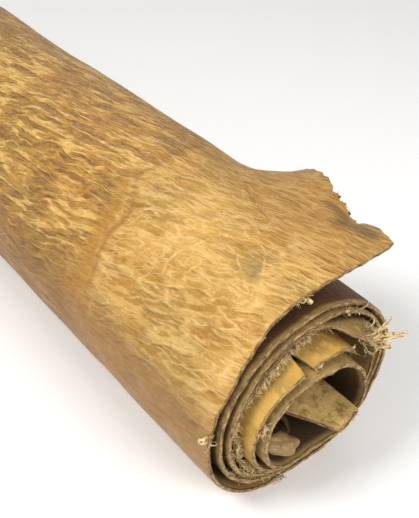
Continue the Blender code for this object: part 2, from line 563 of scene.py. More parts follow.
def two_faces():
    """Outer and inner points of the sheet in mm, and the direction that is outwards at each."""
    along_x = np.gradient(x, axis=0)
    along_z = np.gradient(z, axis=0)
    size = np.hypot(along_x, along_z)
    out_x = along_z / size
    out_z = -along_x / size
    half = THICKNESS / 2 * (1 + THICKNESS_VARIES * hills(u, y, 18.0, 30.0, 31))
    half = half * (RIM_SHARE + (1 - RIM_SHARE) * eased(y - y[:, :1], 0.0, RIM_THINS))
    from_end = (u[-1] - u) / CORE_CURL
    swollen = CORE_SWELLS * np.sin(np.pi * np.clip(from_end, 0.0, 1.0))
    swollen = swollen * (1 - eased(y, 0.0, CORE_SWELLS_FADE))
    swollen = swollen * (1 + 0.3 * hills(u, y, 7.0, 14.0, 32))
    outside = half + standing + swollen
    outer = np.stack([x + out_x * outside, y, z + out_z * outside], -1)
    inner = np.stack([x - out_x * (half - standing), y, z - out_z * (half - standing)], -1)
    low = z < THICKNESS / 2 + FLOOR_SNAP
    outer[..., 2] = np.where(low, np.maximum(outer[..., 2], 0.0), outer[..., 2])
    outer[..., 2] = np.where(low & (outer[..., 2] < LIES_BELOW), 0.0, outer[..., 2])
    return outer, inner, out_x, out_z


outer, inner, out_x, out_z = two_faces()
middle = (outer + inner) / 2
half_way = (outer - inner) / 2

kept = np.ones((rows, columns), bool)
kept[fine_rows:] = False
kept[fine_rows:, inside_columns] = True
number = np.full((rows, columns), -1)
number[kept] = np.arange(kept.sum())
count = int(kept.sum())

faces = []
for i in range(rows - 1):
    here = range(columns) if i < fine_rows else inside_columns
    following = range(columns) if i + 1 < fine_rows else inside_columns
    for j, k in zip(following, following[1:]):
        a, b = number[i + 1, j], number[i + 1, k]
        between_them = [number[i, m] for m in here if j <= m <= k]
        half = (len(between_them) + 1) // 2
        faces += [(p, q, a) for p, q in zip(between_them[:half], between_them[1:half])]
        faces.append((between_them[half - 1], between_them[half], b, a))
        faces += [(p, q, b) for p, q in zip(between_them[half:], between_them[half + 1:])]
faces += [tuple(p + count for p in reversed(face)) for face in faces]

border = [(i, 0) for i in range(rows - 1)]
border += [(rows - 1, j) for j in inside_columns[:-1]]
border += [(i, columns - 1) for i in range(rows - 1, 0, -1)]
border += [(0, j) for j in range(columns - 1, 0, -1)]

points = [outer[kept], inner[kept]]
flat_place = [np.stack([u[kept], y[kept]], -1)] * 2
shares = {
    "rim": [np.zeros(2 * count)],
    "turn": [np.broadcast_to(turn[:, None], (rows, columns))[kept]] * 2,
    "flesh": [np.zeros(count), np.ones(count)],
    "depth": [(y - y[:, :1])[kept]] * 2,
}
round_rim = np.arange(1, RIM_STEPS + 1) / (RIM_STEPS + 1)
rim_ids = []
for i, j in border:
    away = np.zeros(3)
    if j in (0, columns - 1):
        away += (0, -1 if j == 0 else 1, 0)
    if i in (0, rows - 1):
        away += np.array((-out_z[i, j], 0, out_x[i, j])) * (-1 if i == 0 else 1)
    away /= np.linalg.norm(away)
    for k in range(1, RIM_STEPS + 1):
        angle = math.pi * k / (RIM_STEPS + 1)
        swung = half_way[i, j] * math.cos(angle)
        points.append((middle[i, j] + swung + away * RIM_DEPTH * math.sin(angle))[None])
    first = 2 * count + RIM_STEPS * len(rim_ids)
    rim_ids.append([number[i, j], *range(first, first + RIM_STEPS), number[i, j] + count])
    flat_place.append(np.repeat([[u[i, j], y[i, j]]], RIM_STEPS, axis=0))
    shares["rim"].append(np.ones(RIM_STEPS))
    shares["turn"].append(np.full(RIM_STEPS, turn[i]))
    shares["flesh"].append(round_rim)
    shares["depth"].append(np.full(RIM_STEPS, y[i, j] - y[i, 0]))
for here, following in zip(rim_ids, rim_ids[1:] + rim_ids[:1]):
    for k in range(RIM_STEPS + 1):
        faces.append((here[k], following[k], following[k + 1], here[k + 1]))
flat_place = np.concatenate(flat_place)


def new_mesh(name, points_mm, faces):
    """A mesh from points in mm, whose y counts from the near end."""
    placed = np.asarray(points_mm) * MM
    placed[:, 1] -= LENGTH / 2 * MM
    made = bpy.data.meshes.new(name)
    made.from_pydata(placed.tolist(), [], faces)
    return made


mesh = new_mesh("hide", np.concatenate(points), faces)
mesh.validate()
skin = add_object("skin", mesh)


def set_point_values(mesh, name, values):
    """Store one number for each point of a mesh."""
    stored = mesh.attributes.new(name, "FLOAT", "POINT")
    stored.data.foreach_set("value", np.asarray(values, np.float32))


loop_points = np.empty(len(mesh.loops), np.int32)
mesh.loops.foreach_get("vertex_index", loop_points)
lay = mesh.uv_layers.new(name="lay")
lay.data.foreach_set("uv", (flat_place * MM)[loop_points].astype(np.float32).ravel())
for name, values in shares.items():
    set_point_values(mesh, name, np.concatenate(values))
for kind in ("pale", "stain", "patch", "spot", "dark"):
    set_point_values(mesh, kind, marked(kind, flat_place[:, 0], flat_place[:, 1]))
mesh.shade_smooth()
mesh.calc_loop_triangles()
print("skin has", len(mesh.loop_triangles), "triangles")

# %% [markdown]
# ## The finish of the dried skin
# Untanned skin dries to a hard, horny sheet. Its hair side is golden and a little glossy, its flesh side
# duller and greyer, and a cut edge shows olive layers and pale fibres. The finish is laid out on the flat
# skin: long ripples where it shrank along the roll, fine pale veins where it stayed smooth, and a few
# creases and stains at their real places. Heights are in mm, and the same masks tint the colour: ridges,
# veins and fold crests are painted pale, partly as the skin's own colour and partly as painted highlight,
# and the troughs between them brown. Shade is painted in too: on the roll's lower side, where the flap's
# free edge curls under, in the gaps between the turns, under the flap and in the hollow.

# %% Masks and coats that the finish is made from
# The sockets of a Mix node that mix colours. They share their names with others, so they go by number.
SHARE = 0
COLOUR_UNDER = 6
COLOUR_OVER = 7
MIXED_COLOUR = 2


def between(tree, value, low, high):
    """A mask that is 0 below low and 1 above high. Low may be the larger one."""
    bounds = {"Value": value, "From Min": low, "From Max": high}
    return add(tree, "ShaderNodeMapRange", bounds, interpolation_type="SMOOTHSTEP")


def calculate(tree, operation, *values):
    """Any number of values joined one after another by one operation."""
    def one_more(total, value):
        return add(tree, "ShaderNodeMath", {0: total, 1: value}, operation=operation)

    return functools.reduce(one_more, values)


def painted(tree, colour, *coats):
    """A colour with coats over it, each a share from 0 to 1 and a colour."""
    for share, tint in coats:
        under, over = [linear(value) if isinstance(value, str) else value for value in (colour, tint)]
        coat = {SHARE: share, COLOUR_UNDER: under, COLOUR_OVER: over}
        colour = add(tree, "ShaderNodeMix", coat, out=MIXED_COLOUR, data_type="RGBA")
    return colour


def on_skin(place, cell_u, cell_v, tilt):
    """Settings that count places in cells of cell_u by cell_v mm, turned by tilt degrees on the skin."""
    turned = (0.0, 0.0, math.radians(tilt))
    return {"Vector": place, "Rotation": turned, "Scale": (cell_u * MM, cell_v * MM, 1.0)}


def cloud(tree, place, cell_u, cell_v, tilt=0.0, detail=3.0, rough=0.5):
    """Noise between 0 and 1 whose grains are cell_u by cell_v mm, turned by tilt degrees."""
    laid = add(tree, "ShaderNodeMapping", on_skin(place, cell_u, cell_v, tilt), vector_type="TEXTURE")
    noise = {"Vector": laid, "Scale": 1.0, "Detail": detail, "Roughness": rough}
    return add(tree, "ShaderNodeTexNoise", noise, noise_dimensions="2D")


def ridges(tree, noise, sharpness):
    """Thin winding ridges, 1 on the ridge, from a noise."""
    off_middle = calculate(tree, "SUBTRACT", noise, 0.5)
    off_middle = add(tree, "ShaderNodeMath", {0: off_middle}, operation="ABSOLUTE")
    return between(tree, off_middle, 0.5 / sharpness, 0.0)


def crackle(tree, place, cell_u, cell_v, tilt, width):
    """Thin straight lines that branch and meet, like the edges of cells. 1 on a line."""
    laid = add(tree, "ShaderNodeMapping", on_skin(place, cell_u, cell_v, tilt), vector_type="TEXTURE")
    settings = {"out": "Distance", "feature": "DISTANCE_TO_EDGE", "voronoi_dimensions": "2D"}
    cells = add(tree, "ShaderNodeTexVoronoi", {"Vector": laid, "Scale": 1.0}, **settings)
    return between(tree, cells, width, 0.0)


def bent_place(tree, place, cell, amount):
    """The place on the skin, pushed about by amount mm so that no line is straight."""
    size = {"Vector": place, "Scale": 1.0 / (cell * MM), "Detail": 2.0}
    push = add(tree, "ShaderNodeTexNoise", size, out=1, noise_dimensions="2D")
    centred = add(tree, "ShaderNodeVectorMath", {0: push, 1: (0.5, 0.5, 0.5)}, operation="SUBTRACT")
    scaled = add(tree, "ShaderNodeVectorMath", {0: centred, "Scale": 2 * amount * MM}, operation="SCALE")
    return add(tree, "ShaderNodeVectorMath", {0: place, 1: scaled}, operation="ADD")


print("finish helpers are ready")

# %% [markdown]
# ## Creases at their real places
# The fan of pale veins that runs together near the end and the dark fold that crosses the flap are finer than
# the mesh, so they are lines of the finish. Each is a row of a table, from one place on the flat skin to
# another, and one small node group turns a row into a soft line.

# %% Table of creases
CREASES = {
    # u and v at one end, u and v at the other, width, strength, all but strength in mm
    "vein": (
        (-86, 22, -62, 62, 1.8, 0.9),
        (-62, 62, -52, 108, 1.7, 0.8),
        (-52, 108, -44, 156, 4.5, 0.9),
        (-86, 22, -80, 66, 1.8, 1),
        (-80, 66, -66, 128, 1.7, 0.8),
        (-86, 22, -104, 60, 1.8, 1),
        (-104, 60, -100, 118, 2, 0.9),
        (-100, 118, -92, 160, 2, 0.7),
        (-90, 18, -118, 44, 2, 0.9),
        (-118, 44, -126, 92, 2, 0.8),
        (-126, 92, -118, 146, 1.8, 0.9),
        (-104, 84, -122, 72, 1.8, 0.8),
        (-70, 96, -100, 84, 2, 0.9),
        (-44, 70, -80, 52, 1.7, 0.8),
        (-50, 28, -36, 80, 1.7, 0.8),
        (-22, 15, -16, 60, 3.2, 1),
        (-16, 60, -10, 112, 3, 0.8),
        (-158, 126, -182, 116, 1.7, 0.9),
        (-150, 132, -168, 138, 2, 0.9),
    ),
    "fold": (
        (-168, 139, -150, 92, 2, 0.8),
        (-150, 92, -142, 70, 1.6, 0.8),
    ),
}
WANDER = 3.5


def line_group():
    """A node group that is 1 on the line between two points and falls to 0 at its width."""
    tree = bpy.data.node_groups.new("crease line", "ShaderNodeTree")
    for name, kind in (("Place", "Vector"), ("Start", "Vector"), ("End", "Vector"), ("Width", "Float")):
        tree.interface.new_socket(name, in_out="INPUT", socket_type="NodeSocket" + kind)
    tree.interface.new_socket("Line", in_out="OUTPUT", socket_type="NodeSocketFloat")
    given = tree.nodes.new("NodeGroupInput").outputs
    reach = add(tree, "ShaderNodeVectorMath", {0: given["End"], 1: given["Start"]}, operation="SUBTRACT")
    arm = add(tree, "ShaderNodeVectorMath", {0: given["Place"], 1: given["Start"]}, operation="SUBTRACT")
    dot = add(tree, "ShaderNodeVectorMath", {0: arm, 1: reach}, out="Value", operation="DOT_PRODUCT")
    square = add(tree, "ShaderNodeVectorMath", {0: reach, 1: reach}, out="Value", operation="DOT_PRODUCT")
    share = add(tree, "ShaderNodeMath", {0: dot, 1: square}, operation="DIVIDE", use_clamp=True)
    along = add(tree, "ShaderNodeVectorMath", {0: reach, "Scale": share}, operation="SCALE")
    off = add(tree, "ShaderNodeVectorMath", {0: arm, 1: along}, out="Value", operation="DISTANCE")
    line = between(tree, off, given["Width"], 0.0)
    add(tree, "NodeGroupOutput", {"Line": line}, out=None)
    return tree


print({kind: len(lines) for kind, lines in CREASES.items()}, "creases")

# %% [markdown]
# The masks come together here. Ripples fill the far part and a band along the flap's edge, veins and low
# folds the smooth part between them. Colours are laid on in coats, each with the share that it covers.
# Every scale is a size in mm on the flat skin, read off the real one.

# %% Build the skin finish
GOLD = "#B9832D"
OLIVE = "#A27B2D"
# painted highlight: the broad pale field on the top of the roll
PALE = "#CD9B43"
AMBER = "#A2671E"
TROUGH = "#744C28"
# pale tones, partly the skin's own and partly a painted highlight on ridges, veins and fold crests
PALE_AND_RIDGE_HIGHLIGHT = "#E2B663"
PALE_VEIN_AND_HIGHLIGHT = "#EBC67C"
# the skin's own brown, also used as painted shade on the roll's lower side
BROWN_AND_SIDE_SHADE = "#8A5F24"
STAIN = "#8F6026"
PATCH = "#B07A22"
SPOT = "#75602C"
# painted shade where the flap's free edge curls under
CURL_SHADE = "#5E4A2C"
FOLD = "#7A562C"
# painted shade: dark brown in the gaps between the turns, deeper in and under the flap; nearly black between
# the turns, in the hollow and on the inmost curl
DEEP_SHADE = "#502C12"
HOLLOW_SHADE = "#2E1B0D"
FLESH = "#A08048"
FLESH_DARK = "#6C5330"
INNER_OLIVE = "#957A42"
INNER_TAN = "#DAB66E"
INNER_YELLOW = "#CA9F4A"
EDGE = "#8C6E44"
EDGE_DARK = "#5C4226"
EDGE_PALE = "#BC9E6C"

RIPPLE_TILT = -8.0
THREAD_TILT = RIPPLE_TILT - 4.0
RIPPLES_START = 140.0
RIPPLES_FULL = 200.0
LAYER_LENGTH = 5.0
LAYERS_ACROSS = 3.2


def crease_masks(tree, place, group):
    """The strongest line of each kind of crease."""
    masks = {}
    for kind, lines in CREASES.items():
        made = []
        for u0, v0, u1, v1, width, strength in lines:
            ends = {"Start": (u0 * MM, v0 * MM, 0.0), "End": (u1 * MM, v1 * MM, 0.0)}
            settings = {"Place": place, **ends, "Width": width * MM}
            line = add(tree, "ShaderNodeGroup", settings, "Line", node_tree=group)
            made.append(calculate(tree, "MULTIPLY", line, strength))
        masks[kind] = calculate(tree, "MAXIMUM", *made)
    return masks


def skin_finish():
    """Dried untanned skin: hair side, flesh side and cut edge in one finish, told apart by point values."""
    material, tree, shader = new_finish("dried untanned skin")
    fade, noise, coated = [functools.partial(helper, tree) for helper in (between, cloud, painted)]
    times, plus, most = [
        functools.partial(calculate, tree, operation) for operation in ("MULTIPLY", "ADD", "MAXIMUM")
    ]
    less = functools.partial(calculate, tree, "SUBTRACT", 1.0)

    flat = add(tree, "ShaderNodeUVMap", uv_map="lay")
    stored = ("rim", "flesh", "turn", "depth", "pale", "stain", "patch", "spot", "dark")
    rim, flesh, turn_number, depth, pale, stain, patch, spot, dark = [
        add(tree, "ShaderNodeAttribute", out="Fac", attribute_name=name) for name in stored
    ]
    parts = add(tree, "ShaderNodeSeparateXYZ", {0: flat}, out=None)
    around = parts["X"]
    along = parts["Y"]
    mottle = noise(flat, 22.0, 34.0, detail=4.0, rough=0.6)
    blotch = noise(flat, 75.0, 95.0)

    # where the skin is rippled and where it is smooth
    far_part = fade(along, RIPPLES_START * MM, RIPPLES_FULL * MM)
    # painted shade: the outer turn below the flap, on the roll's lower side, is painted darker brown
    lower_side_shade = fade(around, -0.034, 0.006)
    flap_band = times(fade(along, 0.036, 0.008), fade(around, -0.080, -0.115))
    rippled = most(far_part, times(flap_band, 0.4), 0.18)

    # ripples: long pale crests along the roll, two sizes of them, with brown troughs between
    drifting = bent_place(tree, flat, 34.0, 4.0)
    crests = ridges(tree, noise(drifting, 9.5, 72.0, RIPPLE_TILT, 1.0, 0.4), 2.8)
    small_crests = ridges(tree, noise(drifting, 5.6, 34.0, THREAD_TILT, 1.5), 2.8)
    threads = noise(drifting, 2.6, 20.0, THREAD_TILT, 2.0, 0.55)
    strong = fade(noise(flat, 30.0, 70.0, RIPPLE_TILT, 1.0), 0.30, 0.60)
    ripple = plus(
        times(crests, plus(times(strong, 0.3), 0.2)),
        times(small_crests, 0.3),
        times(fade(threads, 0.3, 0.7), 0.25),
    )

    # the smooth part: straight fine veins that branch and meet, short wrinkles and low soft folds
    veined = bent_place(tree, flat, 18.0, 2.2)
    long_veins = crackle(tree, veined, 13.0, 62.0, -15.0, 0.085)
    short_veins = crackle(tree, veined, 6.5, 26.0, -26.0, 0.11)
    wrinkles = ridges(tree, noise(veined, 7.0, 42.0, -14.0, 1.5), 6.0)
    patchy = fade(noise(flat, 24.0, 36.0), 0.40, 0.60)
    folds = ridges(tree, noise(veined, 17.0, 64.0, -20.0, 1.0), 2.6)
    folds = times(folds, less(far_part), fade(around, -0.160, -0.090))
    masks = crease_masks(tree, bent_place(tree, flat, 16.0, WANDER), line_group())
    broken = times(fade(noise(flat, 9.0, 14.0, detail=2.0), 0.36, 0.56), 0.6)
    loose_veins = most(
        times(long_veins, plus(broken, 0.15)),
        times(short_veins, patchy, 0.55),
        times(wrinkles, 0.6),
    )
    veins = most(
        times(loose_veins, less(times(far_part, 0.75))),
        times(masks["vein"], plus(broken, 0.4)),
    )

    # colour of the hair side
    streaky = noise(drifting, 9.0, 52.0, RIPPLE_TILT, 3.0, 0.6)
    fine = noise(flat, 2.0, 5.5, RIPPLE_TILT - 6.0, 3.0, 0.65)
    amber_streaks = times(fade(streaky, 0.42, 0.72), plus(times(far_part, 0.4), 0.2))
    troughs = times(rippled, fade(ripple, 0.48, 0.12), fade(streaky, 0.30, 0.60))
    flap_tip = fade(around, -0.115, -0.175)
    colour = coated(
        GOLD,
        (fade(blotch, 0.35, 0.7), OLIVE),
        # painted highlight: the broad pale field on the top
        (pale, PALE),
        (amber_streaks, AMBER),
        (times(troughs, 0.8), TROUGH),
        # pale ripple crests: partly the skin's own colour, partly painted highlight
        (times(rippled, fade(ripple, 0.45, 0.80), 0.85), PALE_AND_RIDGE_HIGHLIGHT),
        (times(fade(fine, 0.50, 0.28), 0.3), BROWN_AND_SIDE_SHADE),
        (times(fade(fine, 0.52, 0.75), 0.35), PALE_AND_RIDGE_HIGHLIGHT),
        (times(fade(folds, 0.3, 0.0), less(far_part), 0.16), BROWN_AND_SIDE_SHADE),
        # pale on fold crests and veins: partly the skin's own colour, partly painted highlight
        (times(fade(folds, 0.5, 1.0), 0.2), PALE_VEIN_AND_HIGHLIGHT),
        (times(veins, 0.7), PALE_VEIN_AND_HIGHLIGHT),
        (times(flap_tip, plus(times(mottle, 0.6), 0.15)), BROWN_AND_SIDE_SHADE),
        (times(stain, 0.75), STAIN),
        (times(patch, 0.6), PATCH),
        (times(spot, 0.55), SPOT),
        # painted shade where the flap's free edge curls under
        (times(dark, 0.8), CURL_SHADE),
        (times(masks["fold"], 0.45), FOLD),
        # painted shade on the roll's lower side
        (times(lower_side_shade, 0.75), BROWN_AND_SIDE_SHADE),
    )

    # the turns inside: olive, bright yellow in the fifth, tan on the inmost plate, and painted shade, dark
    # brown, in the narrow gaps, deeper in and under the flap, darkest between the turns
    below_flap = times(fade(turn_number, 0.42, 0.50), fade(along, 0.16, 0.05))
    inside = most(fade(turn_number, 0.70, 0.78), below_flap)
    yellow = times(fade(turn_number, 3.35, 3.55), fade(turn_number, 4.6, 4.3))
    plate = times(fade(turn_number, 5.5, 5.9), fade(turn_number, 6.9, 6.2))
    further_in_shade = times(fade(depth, 12.0, 80.0), inside)
    scuffs = noise(flat, 7.0, 10.0, 30.0, 4.0, 0.65)
    tight = fade(turn_number, 1.6, 2.0)
    shallow = most(fade(depth, 0.5, 4.0), times(tight, fade(depth, 0.0, 1.5)))
    gap_shade = times(less(yellow), less(plate), shallow, fade(along, -0.008, 0.0))
    between_turns_shade = times(gap_shade, fade(depth, 3.0, 9.0), fade(turn_number, 0.68, 0.80))
    inner_colour = coated(
        INNER_OLIVE,
        (yellow, INNER_YELLOW),
        (plate, INNER_TAN),
        (times(fade(mottle, 0.4, 0.7), 0.4), FLESH_DARK),
        (times(plate, fade(scuffs, 0.48, 0.66), 0.55), BROWN_AND_SIDE_SHADE),
        (times(fade(scuffs, 0.46, 0.30), 0.4), PALE_AND_RIDGE_HIGHLIGHT),
        # painted shade in the gaps, deeper in and under the flap, darkest between the turns
        (most(times(gap_shade, 0.95), times(further_in_shade, 0.85)), DEEP_SHADE),
        (times(between_turns_shade, 0.75), HOLLOW_SHADE),
    )

    # colour of the flesh side, with painted shade deeper into the roll and darker painted shade in the hollow
    flesh_fibres = noise(flat, 2.5, 9.0, 35.0, 4.0, 0.65)
    hollow_shade = times(fade(turn_number, 4.15, 4.35), fade(depth, 0.5, 6.0))
    flesh_colour = coated(
        FLESH_DARK,
        (flesh_fibres, FLESH),
        (fade(mottle, 0.45, 0.75), INNER_OLIVE),
        (times(further_in_shade, 0.85), DEEP_SHADE),
        (times(hollow_shade, 0.85), HOLLOW_SHADE),
    )

    # the cut edge: thin layers that run along it, some pale and some dark
    layer_place = add(tree, "ShaderNodeCombineXYZ", {
        0: calculate(tree, "DIVIDE", around, LAYER_LENGTH * MM),
        1: times(flesh, LAYERS_ACROSS),
        2: calculate(tree, "DIVIDE", along, LAYER_LENGTH * MM),
    })
    grain = {"Vector": layer_place, "Scale": 1.0, "Detail": 3.0, "Roughness": 0.65}
    layers = add(tree, "ShaderNodeTexNoise", grain)
    edge_colour = coated(EDGE, (fade(layers, 0.48, 0.68), EDGE_PALE), (fade(layers, 0.50, 0.38), EDGE_DARK))

    colour = coated(
        colour,
        (times(inside, 0.95), inner_colour),
        (flesh, flesh_colour),
        (rim, edge_colour),
        # painted shade, nearly black, on the inmost curl
        (times(fade(turn_number, 6.5, 6.9), 0.85), HOLLOW_SHADE),
    )
    tree.links.new(colour, shader.inputs["Base Color"])

    # height in mm: ripples, veins, folds, grain, and torn fibres on the edge
    streaks = noise(flat, 3.2, 13.0, THREAD_TILT, 3.0, 0.6)
    waves = plus(times(ripple, rippled, 4.2), times(veins, 0.7), times(folds, 1.8))
    uneven = plus(times(mottle, 3.4), times(streaks, 0.9), times(fine, 0.3))
    sunk = plus(times(masks["fold"], 0.8), times(stain, 0.5))
    hair_side = calculate(tree, "SUBTRACT", plus(waves, uneven), sunk)
    hair_side = times(plus(hair_side, times(scuffs, plate, 3.0)), less(times(inside, 0.6)))
    height = plus(times(hair_side, less(flesh)), times(flesh_fibres, flesh, 0.5), times(layers, rim, 1.3))
    relief = add(tree, "ShaderNodeBump", {"Height": height, "Distance": MM, "Strength": 1.0})
    tree.links.new(relief, shader.inputs["Normal"])

    # gloss: the hair side shines softly, the flesh side and the edge are matt
    gloss = plus(times(fade(mottle, 0.3, 0.8), 0.12), 0.42)
    tree.links.new(plus(gloss, times(most(rim, flesh, inside), 0.3)), shader.inputs["Roughness"])
    shader.inputs["IOR"].default_value = 1.47
    return material


dried_skin = skin_finish()
mesh.materials.append(dried_skin)
print(dried_skin.name, "has", len(dried_skin.node_tree.nodes), "nodes")

# %% [markdown]
# ## Frayed fibres
# Where a skin tears, its fibres pull out as pale hairs. They grow from the rim in thousands, so a Geometry
# Nodes tree makes them: a short line stands on every root point, is turned the way its point says, is bent
# by a noise that grows towards its tip, and gets a tapering thickness. Only the roots are worked out in
# Python, from a table of the places where the real edge is frayed.

# %% Roots of the fibres
FRAYS = (
    # place from and to, count, length, heading x, y and z, spread, girth
    (560, 620, 110, 2.6, 0.3, -0.9, 0.2, 1, 0.28),
    (880, 985, 260, 2.8, 0.5, -0.9, -0.1, 1, 0.30),
    (1150, 1172, 40, 3.5, 0, -0.9, -0.5, 0.8, 0.28),
    (1172, 1222, 440, 4, 0.5, -0.8, -0.6, 1, 0.40),
    (1222, 1244, 110, 3.4, 0.6, -0.8, 0, 0.9, 0.34),
    (1244, 1312, 420, 4, 0.7, -0.8, 0.2, 1.1, 0.40),
    (1312, 1350, 50, 3, 0.3, -0.9, 0.3, 0.9, 0.28),
    (1597, 1604, 45, 6.5, 0.5, -0.7, -0.8, 0.8, 0.34),
    (1140, 1150, 90, 13, 0.8, -0.6, -0.4, 0.7, 0.28),
    (1484, 1500, 40, 4, 0.6, -0.8, -0.6, 0.8, 0.25),
    (1536, 1560, 40, 3, 0, -0.9, 0, 0.8, 0.25),
    (166, 176, 30, 5, -0.7, -0.8, 0.2, 0.8, 0.25),
    (252, 260, 30, 4.5, 0.2, -0.9, -0.4, 0.8, 0.28),
    (774, 788, 40, 4.5, 0.5, -0.8, 0.4, 0.8, 0.28),
    (2060, 2128, 60, 2.5, 0, -1, 0, 0.9, 0.22),
    (-112, -104, 30, 4, 0.2, -0.6, -0.8, 0.8, 0.26),
    (-188, 2128, 2200, 1.7, 0, -1, 0, 1, 0.15),
)
EDGE_FRAYS = (
    # distance along the free edge, from and to, count, length, spread, girth
    (36, 66, 50, 2.6, 0.9, 0.40),
    (0, 150, 320, 1.4, 1, 0.16),
)
FREE_EDGE_WIDTH = FREE_EDGE[0][1]
LEAN_SPREAD = 0.6
fray_random = np.random.default_rng(7)


def row_at(place):
    """The row, with its fraction, of a winding in degrees, or of minus so many mm out on the flap."""
    if place < FLAP_LEAVES:
        return max(0.0, FLAP_ROWS * (1 + min(place, 0.0) / FREE_EDGE_WIDTH))
    return FLAP_ROWS + float(np.interp(place, winding, np.arange(len(winding))))


def near_rim(row, across):
    """A point on the near rim at a fractional row, from -1 at the inner face to 1 at the outer one."""
    low = int(row)
    share = row - low
    before, after = middle[low:low + 2, 0] + half_way[low:low + 2, 0] * across
    return before * (1 - share) + after * share


def unit(vector):
    """A vector made one long."""
    return vector / np.linalg.norm(vector)


def fibre_roots():
    """Places, directions, lengths and girths of all fibres, in mm."""
    roots = []
    for start, stop, amount, length, x_part, y_part, z_part, spread, girth in FRAYS:
        for k in range(amount):
            row = row_at(start + (stop - start) * fray_random.random())
            lean = np.array((x_part, y_part, z_part)) + fray_random.normal(0.0, spread, 3) * LEAN_SPREAD
            root = near_rim(row, fray_random.uniform(-0.85, 0.85))
            roots.append((root, lean, length * fray_random.uniform(0.35, 1.5), girth))
    for start, stop, amount, length, spread, girth in EDGE_FRAYS:
        for k in range(amount):
            distance = start + (stop - start) * fray_random.random()
            column = float(np.interp(distance, y[0], np.arange(columns)))
            low = int(column)
            root = middle[0, low] * (1 - column + low) + middle[0, low + 1] * (column - low)
            root = root + half_way[0, low] * fray_random.uniform(-0.8, 0.8)
            lean = unit(middle[0, low] - middle[1, low]) + fray_random.normal(0.0, spread, 3) * LEAN_SPREAD
            roots.append((root, lean, length * fray_random.uniform(0.4, 1.5), girth))
    return roots


roots = fibre_roots()
print(len(roots), "fibre roots")

# %% [markdown]
# The tree takes the root points and grows one strand from each. Realize Instances turns the copies into
# real mesh, and the result is kept as a plain mesh, so that nothing live is left on the piece.

# %% Grow the fibres
def straw_finish():
    """Dry torn skin: matt, tan where it still hangs together and pale straw at the tips."""
    material, tree, shader = new_finish("torn skin fibre", roughness=0.62)
    solid = add(tree, "ShaderNodeTexCoord", out="Object")
    strands = add(tree, "ShaderNodeTexNoise", {"Vector": solid, "Scale": 1.0 / (2.5 * MM), "Detail": 2.0})
    tip = add(tree, "ShaderNodeAttribute", out="Fac", attribute_name="tip")
    coats = ((between(tree, tip, 0.0, 0.5), "#D8BE88"), (between(tree, strands, 0.48, 0.66), "#7E6038"))
    tree.links.new(painted(tree, "#8A6C3E", *coats), shader.inputs["Base Color"])
    return material


def fibre_tree(finish):
    """Geometry Nodes that grow one bent, tapering strand from each point."""
    tree = bpy.data.node_groups.new("frayed fibres", "GeometryNodeTree")
    tree.interface.new_socket("Geometry", in_out="INPUT", socket_type="NodeSocketGeometry")
    for name, value in (("Bend", 0.5), ("Bend Size", 0.006), ("Tip", 0.3)):
        socket = tree.interface.new_socket(name, in_out="INPUT", socket_type="NodeSocketFloat")
        socket.default_value = value
    tree.interface.new_socket("Geometry", in_out="OUTPUT", socket_type="NodeSocketGeometry")
    given = tree.nodes.new("NodeGroupInput").outputs
    line = add(tree, "GeometryNodeCurvePrimitiveLine", {"End": (0.0, 0.0, 1.0)})
    strand = add(tree, "GeometryNodeResampleCurve", {"Curve": line, "Count": 6})
    lean, size, girth = [
        add(tree, "GeometryNodeInputNamedAttribute", {"Name": name}, data_type=kind)
        for name, kind in (("lean", "FLOAT_VECTOR"), ("size", "FLOAT"), ("girth", "FLOAT"))
    ]
    turned = add(tree, "FunctionNodeAlignRotationToVector", {"Vector": lean}, axis="Z")
    standing = {"Points": given["Geometry"], "Instance": strand, "Rotation": turned, "Scale": size}
    copies = add(tree, "GeometryNodeInstanceOnPoints", standing)
    real = add(tree, "GeometryNodeRealizeInstances", {"Geometry": copies})
    along = add(tree, "GeometryNodeSplineParameter", out="Factor")
    where = add(tree, "GeometryNodeInputPosition")
    waves = calculate(tree, "DIVIDE", 1.0, given["Bend Size"])
    noise = add(tree, "ShaderNodeTexNoise", {"Vector": where, "Scale": waves, "Detail": 1.0}, out=1)
    centred = add(tree, "ShaderNodeVectorMath", {0: noise, 1: (0.5, 0.5, 0.5)}, operation="SUBTRACT")
    amount = calculate(tree, "MULTIPLY", along, size, given["Bend"])
    push = add(tree, "ShaderNodeVectorMath", {0: centred, "Scale": amount}, operation="SCALE")
    bent = add(tree, "GeometryNodeSetPosition", {"Geometry": real, "Offset": push})
    tips = {"Geometry": bent, "Name": "tip", "Value": along}
    bent = add(tree, "GeometryNodeStoreNamedAttribute", tips, data_type="FLOAT", domain="POINT")
    lost = calculate(tree, "MULTIPLY", along, calculate(tree, "SUBTRACT", 1.0, given["Tip"]))
    thick = calculate(tree, "MULTIPLY", calculate(tree, "SUBTRACT", 1.0, lost), girth)
    ring = add(tree, "GeometryNodeCurvePrimitiveCircle", {"Resolution": 3, "Radius": 1.0})
    tubes = {"Curve": bent, "Profile Curve": ring, "Scale": thick, "Fill Caps": True}
    grown = add(tree, "GeometryNodeCurveToMesh", tubes)
    whole = add(tree, "GeometryNodeRealizeInstances", {"Geometry": grown})
    dressed = add(tree, "GeometryNodeSetMaterial", {"Geometry": whole, "Material": finish})
    add(tree, "NodeGroupOutput", {"Geometry": dressed}, out=None)
    return tree


FLOOR_GAP = 0.4


